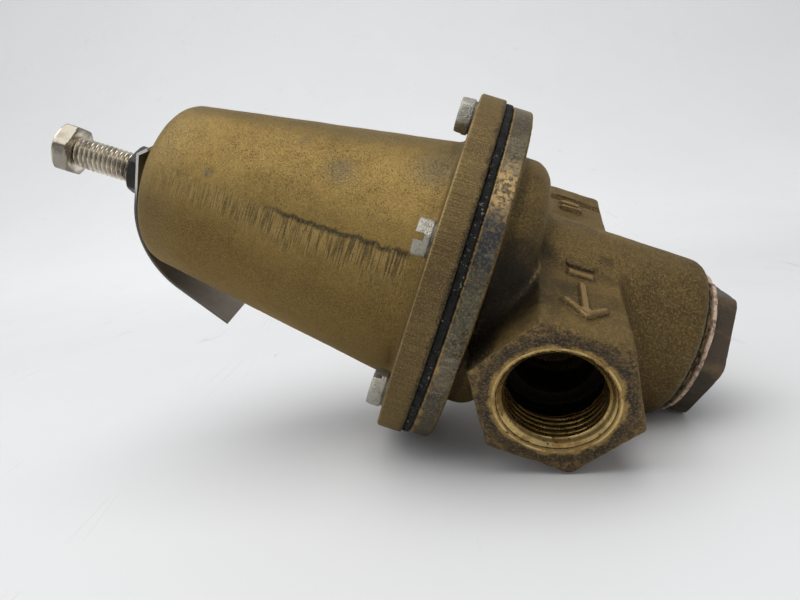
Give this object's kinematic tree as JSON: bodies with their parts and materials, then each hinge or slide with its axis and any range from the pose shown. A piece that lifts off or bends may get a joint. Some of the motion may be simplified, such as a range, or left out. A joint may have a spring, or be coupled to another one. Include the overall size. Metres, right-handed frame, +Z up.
{
  "type": "water pressure reducing valve",
  "caption": "Direct-acting bronze water pressure reducing valve with in-line threaded ports, flanged spring cage, adjusting bolt and bottom plug.",
  "frame": {"origin": "centre of the bottom plug's outer face", "axes": "+Z up the valve's axis to the adjusting bolt, +X out of the outlet port, inlet at -X"},
  "size_m": [0.1048, 0.1042, 0.2083],
  "materials": {
    "cast_bronze": "sand-cast bronze, tarnished",
    "machined_brass": "turned brass",
    "plug_bronze": "dark oxidised bronze",
    "zinc_steel": "dull zinc plate",
    "plated_steel": "zinc plate, worn",
    "black_steel": "black oxide",
    "stainless_sheet": "bright rolled sheet",
    "spring_steel": "oiled spring wire",
    "stainless_mesh": "fine perforated sheet",
    "diaphragm_rubber": "fabric-reinforced rubber",
    "disc_rubber": "moulded rubber",
    "fibre_gasket": "fibre gasket"
  },
  "bodies": {
    "casing": {"valve_body": "cast_bronze", "seat_ring": "machined_brass", "strainer_screen": "stainless_mesh", "bottom_plug": "plug_bronze", "plug_gasket": "fibre_gasket", "closing_spring": "stainless_sheet", "diaphragm": "diaphragm_rubber", "range_spring": "spring_steel", "spring_cage": "cast_bronze", "flange_screws": "zinc_steel"},
    "stem_set": {"stem": "machined_brass", "disc_washer": "machined_brass", "valve_disc": "disc_rubber", "disc_holder": "machined_brass", "disc_nut": "machined_brass", "diaphragm_washer": "machined_brass", "pressure_plate": "zinc_steel", "stem_washer": "zinc_steel", "stem_nut": "zinc_steel"},
    "button": {"spring_button": "zinc_steel"},
    "bolt": {"adjusting_bolt": "plated_steel"},
    "nut": {"lock_nut": "black_steel"},
    "tag": {"data_tag": "stainless_sheet"}
  },
  "joints": [
    {"name": "stem_lift", "type": "slide", "parent": "casing", "child": "stem_set", "axis": [0, 0, 1], "range_m": [0, 0.00345], "stiffness_N_per_m": 2000, "deforming": ["diaphragm", "closing_spring"]},
    {"name": "button_travel", "type": "slide", "parent": "casing", "child": "button", "axis": [0, 0, 1], "range_m": [-0.018, 0.008], "deforming": ["range_spring"]},
    {"name": "bolt_turn", "type": "hinge", "parent": "button", "child": "bolt", "pos_m": [0, 0, 0.17], "axis": [0, 0, 1], "range_deg": [-4083, 1815]},
    {"name": "lock_nut_turn", "type": "hinge", "parent": "casing", "child": "nut", "pos_m": [0, 0, 0.18], "axis": [0, 0, 1], "range_deg": [0, 360]},
    {"name": "tag_swivel", "type": "hinge", "parent": "casing", "child": "tag", "pos_m": [0, 0, 0.177], "axis": [0, 0, 1], "continuous": true}
  ],
  "couplings": [
    {"joint": "bolt_turn", "follows": "button_travel", "rad_per_m": 3957.9}
  ]
}
